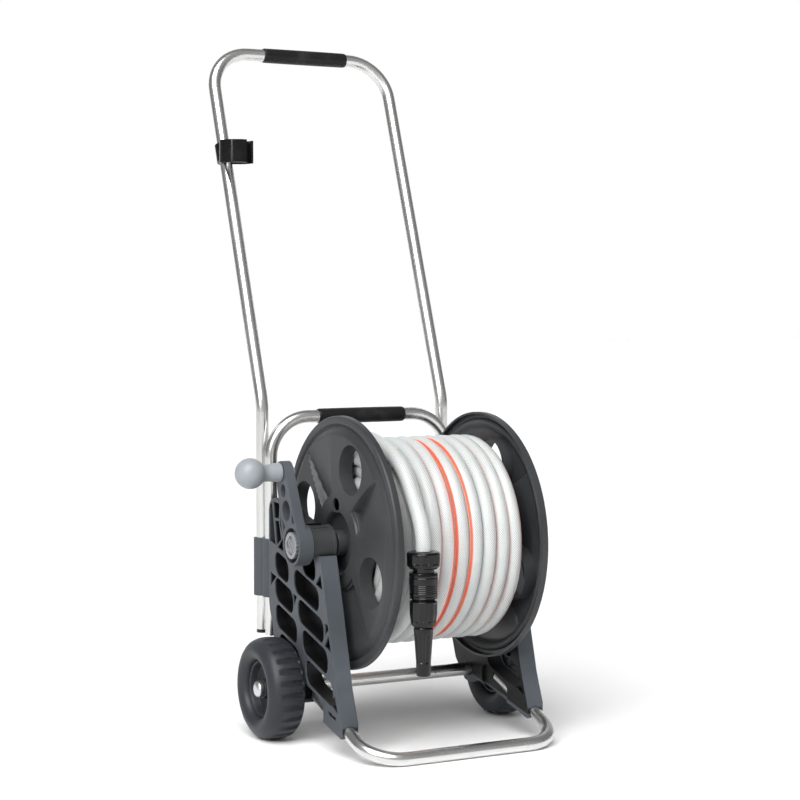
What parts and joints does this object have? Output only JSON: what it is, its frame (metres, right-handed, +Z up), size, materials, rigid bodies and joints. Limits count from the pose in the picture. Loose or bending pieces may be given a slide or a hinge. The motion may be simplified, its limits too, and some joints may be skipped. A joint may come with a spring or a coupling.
{
  "type": "garden hose reel cart",
  "caption": "Two-wheeled garden hose cart: crank-turned reel between ribbed side frames, sliding tube push handle, rear hoop, tube foot, wound hose with spray nozzle.",
  "frame": {"origin": "on the ground, under the middle of the cart's bounding box (hose left out)", "axes": "+Z up; X along the reel's axle, the crank on the -X side; +Y towards the rear, where the hoop and push handle are; the foot is at -Y"},
  "size_m": [0.374, 0.4678, 0.8025],
  "materials": {
    "frame_plastic": "fine moulded grain",
    "reel_plastic": "fine moulded grain",
    "tube_aluminium": "drawn and polished",
    "grip_rubber": "smooth sleeve",
    "black_gloss": "glossy",
    "steel": "zinc plated",
    "wheel_plastic": "moulded",
    "cap_plastic": "silver",
    "knob_plastic": "satin",
    "seal_rubber": "smooth",
    "hose_vinyl": "braided, with an orange stripe"
  },
  "bodies": {
    "frame": {"side_frame_left": "frame_plastic", "side_frame_right": "frame_plastic", "bearing_block_left": "reel_plastic", "bearing_block_right": "reel_plastic", "guide_collar_left": "frame_plastic", "guide_collar_right": "frame_plastic", "rear_hoop": "tube_aluminium", "hoop_grip": "grip_rubber", "foot_tube": "tube_aluminium", "axle_tube": "tube_aluminium", "axle_cap_left": "steel", "axle_cap_right": "steel", "wheel_washer_left": "steel", "wheel_washer_right": "steel", "hose_end": "hose_vinyl", "connector_nut": "black_gloss", "connector_body": "black_gloss", "nozzle_body": "black_gloss"},
    "handle": {"push_handle": "tube_aluminium", "push_grip": "grip_rubber", "nozzle_clip": "black_gloss", "leg_plug_left": "black_gloss", "leg_plug_right": "black_gloss"},
    "reel": {"reel_flange_left": "reel_plastic", "reel_flange_right": "reel_plastic", "reel_drum": "reel_plastic", "hose_tail": "black_gloss", "hose_coil": "hose_vinyl", "crank_arm": "frame_plastic", "crank_cap": "cap_plastic", "knob_pin": "steel"},
    "knob": {"crank_knob": "knob_plastic"},
    "wheel_left": {"wheel_tyre_left": "wheel_plastic", "wheel_disc_left": "wheel_plastic"},
    "wheel_right": {"wheel_tyre_right": "wheel_plastic", "wheel_disc_right": "wheel_plastic"},
    "inlet": {"inlet_elbow": "black_gloss", "inlet_seal": "seal_rubber"},
    "release_sleeve": {"connector_sleeve": "black_gloss"},
    "spray_tip": {"nozzle_tip": "black_gloss"}
  },
  "joints": [
    {"name": "reel_spin", "type": "hinge", "parent": "frame", "child": "reel", "pos_m": [0.016, -0.087, 0.2235], "axis": [1, 0, 0], "continuous": true},
    {"name": "knob_spin", "type": "hinge", "parent": "reel", "child": "knob", "pos_m": [-0.159, -0.058, 0.3015], "axis": [1, 0, 0], "continuous": true},
    {"name": "wheel_left_spin", "type": "hinge", "parent": "frame", "child": "wheel_left", "pos_m": [-0.134, -0.028, 0.057], "axis": [1, 0, 0], "continuous": true},
    {"name": "wheel_right_spin", "type": "hinge", "parent": "frame", "child": "wheel_right", "pos_m": [0.166, -0.028, 0.057], "axis": [1, 0, 0], "continuous": true},
    {"name": "handle_slide", "type": "slide", "parent": "frame", "child": "handle", "axis": [0, 0, 1], "range_m": [-0.1, 0]},
    {"name": "inlet_swivel", "type": "hinge", "parent": "frame", "child": "inlet", "pos_m": [0.163, -0.087, 0.2235], "axis": [1, 0, 0], "continuous": true},
    {"name": "sleeve_release", "type": "slide", "parent": "frame", "child": "release_sleeve", "axis": [0, 0, 1], "range_m": [0, 0.0038], "stiffness_N_per_m": 300, "springref_m": -0.002},
    {"name": "spray_twist", "type": "hinge", "parent": "frame", "child": "spray_tip", "pos_m": [-0.044, -0.22307, 0.1235], "axis": [0, 0, 1], "range_deg": [0, 270]}
  ]
}
